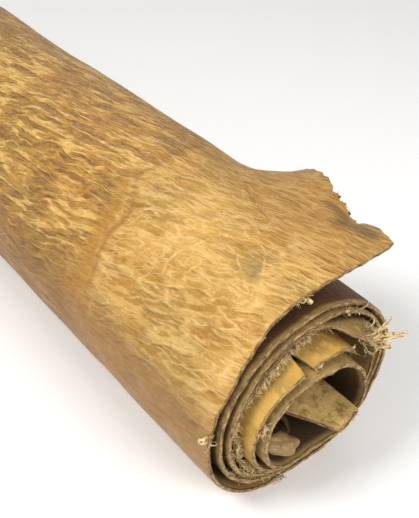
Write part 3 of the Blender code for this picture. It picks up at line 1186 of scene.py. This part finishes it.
def plain_mesh(holder, tree, inputs, name):
    """Run a Geometry Nodes tree on an object and keep the result as an object of its own, off the floor."""
    modifier = holder.modifiers.new("grow", "NODES")
    modifier.node_group = tree
    for item in tree.interface.items_tree:
        if item.in_out == "INPUT" and item.name in inputs:
            modifier[item.identifier] = inputs[item.name]
    bpy.context.view_layer.update()
    evaluated = holder.evaluated_get(bpy.context.evaluated_depsgraph_get())
    made = bpy.data.meshes.new_from_object(evaluated)
    for vertex in made.vertices:
        vertex.co.z = max(vertex.co.z, FLOOR_GAP * MM)
    holder.modifiers.remove(modifier)
    bpy.data.objects.remove(holder)
    made.name = name
    return add_object(name, made)


places, leans, sizes, girths = zip(*roots)
root_mesh = new_mesh("roots", places, [])
stored = root_mesh.attributes.new("lean", "FLOAT_VECTOR", "POINT")
stored.data.foreach_set("vector", np.array([unit(lean) for lean in leans], np.float32).ravel())
set_point_values(root_mesh, "size", np.array(sizes) * MM)
set_point_values(root_mesh, "girth", np.array(girths) * MM)

fibre_finish = straw_finish()
fibre_settings = {"Bend": 1.6, "Bend Size": 0.0035, "Tip": 0.35}
fibres = plain_mesh(
    add_object("roots", root_mesh), fibre_tree(fibre_finish), fibre_settings, "frayed_fibres"
)
fibres.data.shade_smooth()
fibres.data.calc_loop_triangles()
print("fibres have", len(fibres.data.loop_triangles), "triangles")

# %% [markdown]
# ## Torn strips
# Besides hairs the tears leave little strips of skin that have dried into curls, and at the upper right a
# whole tuft of them. Each is a short ribbon walked out from the rim: it bends about its own width by some
# degrees, twists a little, and gets narrower and thinner towards its end. The hard knob of the inmost end is
# made of the same stuff, so it joins them.

# %% Build the torn strips
STRIPS = (
    # place, across, length, width, thickness, curl, twist, heading x, y and z
    (169, 0.5, 11, 6, 1.4, 220, 30, -0.45, -0.8, 0.1),
    (172, 0, 8, 4, 1, -120, 50, -0.1, -0.9, -0.3),
    (-112, -0.6, 13, 3.4, 0.9, 220, 30, 0.2, -0.6, -0.8),
    (-106, -0.6, 8, 2.4, 0.8, 160, -50, 0.5, -0.7, -0.5),
    (786, 0.2, 8, 3.5, 1, -150, 40, 0.1, -0.8, 0.6),
    (774, 0.3, 11, 4.5, 1.1, 90, 60, 0.7, -0.7, 0.2),
    (778, -0.2, 8, 3, 0.8, -80, 60, 0.8, -0.6, -0.1),
    (1496, 0.2, 8, 6, 1.2, -170, 20, 0.7, -0.6, -0.5),
    (1499, -0.4, 6, 3, 0.9, 100, -40, 0.7, -0.6, 0.4),
    (1541, 0.2, 6, 4, 1.2, -100, 30, 0.3, -0.9, -0.3),
    (256, 0.3, 8, 3.5, 0.9, -140, 40, 0.4, -0.8, 0.3),
    (1601, 0.3, 10, 3, 0.8, 160, 40, 0.6, -0.6, -0.6),
    (1604, 0.1, 9, 2.5, 0.8, 200, -60, 0.2, -0.8, -0.7),
    (1192, -0.2, 6, 3, 0.9, -170, 40, 0.4, -0.8, -0.4),
    (1204, 0.1, 7, 3.5, 0.9, 160, -30, 0.5, -0.8, -0.3),
    (1250, 0, 7, 3.5, 0.9, -160, 30, 0.6, -0.8, 0),
    (1262, 0.1, 8, 3, 0.9, 190, 40, 0.6, -0.8, 0.2),
    (1278, 0.1, 7, 3, 0.8, -150, 30, 0.5, -0.9, 0.2),
    (1300, 0.1, 8, 3.5, 0.9, 170, -30, 0.4, -0.9, 0.3),
    # the tuft on the torn corner
    (1149.5, 0.5, 26, 2.6, 0.9, 90, 60, 0.70, -0.60, 0.18),
    (1149.5, 0, 30, 2.4, 0.8, -110, 120, 0.85, -0.55, 0.02),
    (1149, -0.3, 33, 3, 0.9, 60, -110, 0.82, -0.65, -0.20),
    (1148.5, -0.6, 32, 2, 0.7, 120, 90, 0.90, -0.50, -0.35),
    (1148, 0.3, 29, 2.4, 0.8, -150, 60, 0.76, -0.70, -0.50),
    (1147.5, 0, 31, 3.2, 1, 80, 140, 0.85, -0.60, -0.12),
    (1147, -0.2, 28, 2.8, 0.9, 160, 50, 0.60, -0.75, -0.75),
    (1146, 0.4, 24, 2.2, 0.8, 110, -90, 0.75, -0.55, 0.05),
    (1145, -0.5, 30, 2.2, 0.7, -120, 80, 0.85, -0.55, -0.58),
    (1144, 0, 27, 3.4, 1, -90, 130, 0.88, -0.45, -0.28),
    (1143, 0.3, 23, 2.6, 0.8, 180, 60, 0.75, -0.60, -0.64),
    (1141, -0.3, 22, 2.8, 0.9, 160, 70, 0.82, -0.50, -0.45),
    (1139, 0.2, 17, 2.4, 0.8, 200, -60, 0.60, -0.70, 0.05),
    (1147, 0.6, 15, 4, 1.1, 150, 30, 0.50, -0.80, -0.25),
)
EDGE_BITS = (
    # distance along the free edge, length, width, thickness, curl, twist
    (37, 5, 5, 1.2, 60, 20),
    (43, 7, 6, 1.4, 90, -20),
    (50, 5.5, 5, 1.2, 70, 30),
    (57, 6.5, 6, 1.3, 80, -10),
    (64, 4.5, 4, 1.1, 60, 20),
    (78, 3, 3, 1, 50, 20),
    (92, 3, 4, 1, 50, -20),
)
STRIP_STEPS = 14
STRIP_NARROWS = 0.55
STRIP_THINS = 0.6
ROOT_INSIDE = 2.0
PALE_SEED = 100
DARK_SEED = 200
KNOB_CENTRE = (-28.0, -8.0, 54.0)
KNOB_AXES = (
    # half a length in mm, direction
    (19.0, (0.80, 0.0, -0.60)),
    (8.0, (0.60, 0.0, 0.80)),
    (9.0, (0.0, 1.0, 0.0)),
)
KNOB_LUMPS = 0.16
KNOB_CREASES = 0.06
KNOB_RINGS = 32
KNOB_SIDES = 28


def turned_about(vector, axis, degrees):
    """A vector turned about a unit axis."""
    angle = math.radians(degrees)
    along_axis = axis * np.dot(axis, vector)
    across = vector - along_axis
    return along_axis + across * math.cos(angle) + np.cross(axis, across) * math.sin(angle)


def ribbon(root, heading, side, length, width, thickness, curl, twist, seed):
    """Points, faces and tip shares of one curled strip, a flat box with rounded ends across."""
    uneven = np.random.default_rng(seed)
    at = np.array(root, float)
    heading = unit(heading)
    side = unit(side - heading * np.dot(side, heading))
    upper_half = ((1.0, 0.5), (0.8, 0.9), (0.0, 1.1), (-0.8, 0.9), (-1.0, 0.5))
    outline = upper_half + tuple((-a, -b) for a, b in upper_half)
    sections = []
    for k in range(STRIP_STEPS + 1):
        share = k / STRIP_STEPS
        normal = np.cross(side, heading)
        half_width = width / 2 * (1 - STRIP_NARROWS * share**2) * uneven.uniform(0.8, 1.1)
        half_thick = thickness / 2 * (1 - STRIP_THINS * share)
        sections.append([at + side * half_width * a + normal * half_thick * b for a, b in outline])
        at = at + heading * length / STRIP_STEPS
        heading = turned_about(heading, side, curl / STRIP_STEPS * (0.4 + 1.2 * share))
        side = turned_about(side, heading, twist / STRIP_STEPS)
        side = unit(side - heading * np.dot(side, heading))
    size = len(outline)
    shares = np.repeat(np.arange(STRIP_STEPS + 1) / STRIP_STEPS, size)
    last_section = range(STRIP_STEPS * size, (STRIP_STEPS + 1) * size)
    faces = [tuple(range(size)), tuple(reversed(last_section))]
    for k in range(STRIP_STEPS):
        for m in range(size):
            n = (m + 1) % size
            faces.append((k * size + m, (k + 1) * size + m, (k + 1) * size + n, k * size + n))
    return [point for section in sections for point in section], faces, shares


def pale_strips():
    """The strips on the near rim."""
    made = []
    for k, (place, across, *sizes, x_part, y_part, z_part) in enumerate(STRIPS):
        row = row_at(place)
        i = int(round(row))
        forward = np.array((-out_z[i, 0], 0.0, out_x[i, 0]))
        root = near_rim(row, across) + np.array((0.0, ROOT_INSIDE, 0.0))
        made.append(ribbon(root, np.array((x_part, y_part, z_part)), forward, *sizes, PALE_SEED + k))
    return made


def dark_bits():
    """The dark scraps on the flap's free edge, curling under."""
    made = []
    for k, (distance, *sizes) in enumerate(EDGE_BITS):
        j = int(round(np.interp(distance, y[0], np.arange(columns))))
        away = unit(middle[0, j] - middle[1, j])
        root = middle[0, j] - half_way[0, j] * 0.5 - away * 1.5
        heading = away + np.array((0.0, -0.2, -0.5))
        made.append(ribbon(root, heading, np.array((0.0, -1.0, 0.0)), *sizes, DARK_SEED + k))
    return made


def knob():
    """The inmost end, dried into a hard knob: an uneven ball drawn out along its own length."""
    points = []
    spots = []
    for ring in range(KNOB_RINGS + 1):
        polar = math.pi * ring / KNOB_RINGS
        for side in range(KNOB_SIDES if 0 < ring < KNOB_RINGS else 1):
            angle = 2 * math.pi * side / KNOB_SIDES
            a, b, c = math.cos(polar), math.sin(polar) * math.cos(angle), math.sin(polar) * math.sin(angle)
            lumps = KNOB_LUMPS * hills(60 * a + 20 * b, 40 * c + 90, 22.0, 14.0, 51)
            creases = KNOB_CREASES * hills(60 * a + 12 * c, 60 * b + 30 * c + 90, 34.0, 11.0, 52)
            creases = creases * math.sin(polar)
            arm = sum(half * share * np.array(axis) for (half, axis), share in zip(KNOB_AXES, (a, b, c)))
            points.append(np.array(KNOB_CENTRE) + (1 + lumps + creases) * arm)
            spots.append((60 * a + 15 * c, 40 * b + 25 * c + 90))
    faces = []
    for ring in range(KNOB_RINGS):
        for side in range(KNOB_SIDES):
            corners = [(ring, side), (ring, side + 1), (ring + 1, side + 1), (ring + 1, side)]
            # each pole is one point, so the numbers stop at the first and the last
            counted = [1 + (i - 1) * KNOB_SIDES + j % KNOB_SIDES for i, j in corners]
            faces.append(tuple(dict.fromkeys(min(max(n, 0), len(points) - 1) for n in counted)))
    wrinkled = np.array([float(hills(*spot, 40.0, 6.0, 53)) for spot in spots])
    return points, faces, np.clip(0.04 + 0.16 * wrinkled, 0.0, 0.5)


pale_made = pale_strips() + [knob()]
strip_points = []
strip_faces = []
strip_shares = []
for some_points, some_faces, some_shares in pale_made + dark_bits():
    base = len(strip_points)
    strip_points += some_points
    strip_faces += [tuple(base + p for p in face) for face in some_faces]
    strip_shares += list(some_shares)
pale_faces = sum(len(made[1]) for made in pale_made)

strip_mesh = new_mesh("torn_strips", strip_points, strip_faces)
set_point_values(strip_mesh, "tip", strip_shares)
strip_mesh.materials.append(fibre_finish)
# dark scraps along the flap's curled free edge; their near-black colour is painted shade under the curl
strip_mesh.materials.append(new_finish("dark scrap shade", "#5A3F22", 0.6)[0])
for k, polygon in enumerate(strip_mesh.polygons):
    polygon.material_index = 0 if k < pale_faces else 1
strip_mesh.shade_smooth()
strips = add_object("torn_strips", strip_mesh)
lowest = min(point[2] for point in strip_points)
print(len(STRIPS), "pale strips and", len(EDGE_BITS), "dark scraps, lowest at", round(float(lowest), 2), "mm")

# %% [markdown]
# ## Floor, light and camera
# The roll lies on a plain pale floor under soft studio light. The camera stands where the photograph's did:
# above the near end, looking down along the roll.

# %% Studio
CAMERA_PITCH = 37.6
CAMERA_YAW = 37.3
CAMERA_AT = (-0.284, -0.714, 0.491)
LENS = 55.6
SENSOR = 36.0
FLOOR_HALF = 6.0
DAYLIGHT = 0.45
LAMPS = (
    # name, place, the place it points at, size and power
    ("key", (-1.0, -0.15, 1.5), (0.0, -0.25, 0.1), 0.6, 20.5),
    ("back", (2.6, 3.2, 1.8), (2.4, 3.0, 0.0), 2.0, 34.0),
    ("front", (0.1, -1.7, 1.0), (0.0, -0.4, 0.1), 0.8, 18.0),
)


def area_light(name, at, towards, size, power):
    """A soft square lamp."""
    lamp = bpy.data.lights.new(name, "AREA")
    lamp.size = size
    lamp.energy = power
    holder = add_object(name, lamp)
    holder.location = at
    holder.rotation_euler = (Vector(towards) - Vector(at)).to_track_quat("-Z", "Y").to_euler()


corners = [(a * FLOOR_HALF, b * FLOOR_HALF, 0) for a, b in ((-1, -1), (1, -1), (1, 1), (-1, 1))]
floor_mesh = bpy.data.meshes.new("floor")
floor_mesh.from_pydata(corners, [], [(0, 1, 2, 3)])
# matt white board
floor_mesh.materials.append(new_finish("white board", "#F4F3F1", 0.9)[0])
floor = add_object("floor", floor_mesh)

world = bpy.data.worlds.new("studio")
bpy.context.scene.world = world
world.use_nodes = True
background = world.node_tree.nodes["Background"].inputs
background["Color"].default_value = (1.0, 1.0, 1.0, 1.0)
background["Strength"].default_value = DAYLIGHT
for lamp_row in LAMPS:
    area_light(*lamp_row)

view = bpy.data.cameras.new("camera")
view.sensor_fit = "VERTICAL"
view.sensor_height = SENSOR
view.lens = LENS
camera = add_object("camera", view)
camera.location = CAMERA_AT
camera.rotation_euler = (math.radians(90 - CAMERA_PITCH), 0.0, math.radians(-CAMERA_YAW))
bpy.context.scene.camera = camera
bpy.context.scene.view_settings.view_transform = "Standard"
print("camera looks down by", CAMERA_PITCH, "degrees")

# %% [markdown]
# ## Hand over
# The dressed skin takes the plain solid's place and rides on the one body there is.

for piece in (skin, fibres, strips):
    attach(piece, "root")
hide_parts("hide")
